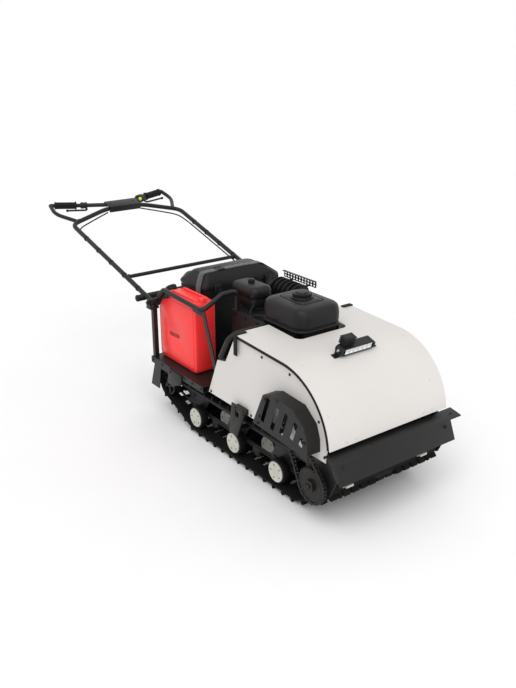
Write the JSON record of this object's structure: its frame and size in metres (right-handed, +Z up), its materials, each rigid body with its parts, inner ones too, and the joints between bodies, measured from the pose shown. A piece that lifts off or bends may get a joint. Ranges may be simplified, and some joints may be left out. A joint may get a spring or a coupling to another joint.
{
  "type": "tracked snow tug",
  "caption": "Low tracked snow tug with a curved hood over the engine, a chain-driven rubber track, fuel can and case on the rear deck, and a fold-up handlebar.",
  "frame": {"origin": "on the floor under the middle of the whole machine, bumper to grips", "axes": "+Z up, -Y forward, +X to the machine's left"},
  "size_m": [0.6216, 1.9824, 0.7374],
  "materials": {
    "track_rubber": "matte moulded rubber",
    "black_steel": "satin black powder coat",
    "white_sheet": "satin off-white coat",
    "disc_grey": "cast, matte",
    "cream_plastic": "moulded",
    "roller_rubber": "matte",
    "black_plastic": "moulded, slight sheen",
    "red_plastic": "moulded, semi-gloss",
    "engine_metal": "black painted casting",
    "trim_rubber": "soft, matte",
    "strap_fabric": "woven strap",
    "chain_steel": "oiled dark steel",
    "lens_silver": "bright reflector",
    "button_yellow": "moulded yellow-green"
  },
  "bodies": {
    "root": {"track_belt": "track_rubber", "drive_sprockets": "cream_plastic", "drive_shaft": "black_steel", "roller_rims": "roller_rubber", "roller_discs": "disc_grey", "idler_wheels": "black_plastic", "roller_axles": "black_steel", "track_rail_right": "black_steel", "track_rail_left": "black_steel", "track_hangers": "black_steel", "side_panel_right": "white_sheet", "side_panel_left": "white_sheet", "deck": "black_steel", "deck_edges": "black_steel", "rear_apron": "black_steel", "front_bumper": "black_steel", "bearing_plates": "black_steel", "drive_chain": "chain_steel", "chain_wheel": "chain_steel", "upper_sprocket": "chain_steel", "chain_guard": "black_steel", "engine_block": "engine_metal", "fuel_tank": "black_plastic", "tank_cap": "black_plastic", "air_cleaner": "black_plastic", "muffler": "engine_metal", "muffler_guard": "engine_metal", "fuel_can": "red_plastic", "can_cap": "black_plastic", "can_rack": "black_steel", "hood_stays": "black_steel", "cargo_case": "black_plastic", "case_strap": "strap_fabric", "foot_brackets": "black_steel"},
    "hood": {"hood_panel": "white_sheet", "hood_trim": "trim_rubber", "hood_latches": "trim_rubber", "light_bar": "black_plastic", "light_lenses": "lens_silver"},
    "handlebar": {"handlebar_hoop": "black_steel", "console_plate": "black_plastic", "grips": "trim_rubber", "hand_controls": "black_plastic", "kill_button": "button_yellow", "control_cables": "trim_rubber"}
  },
  "joints": [
    {"name": "hood_hinge", "type": "hinge", "parent": "root", "child": "hood", "pos_m": [0, -0.924, 0.291], "axis": [1, 0, 0], "range_deg": [0, 60]},
    {"name": "handlebar_fold", "type": "hinge", "parent": "root", "child": "handlebar", "pos_m": [0, 0.1105, 0.481], "axis": [1, 0, 0], "range_deg": [0, 50]}
  ]
}
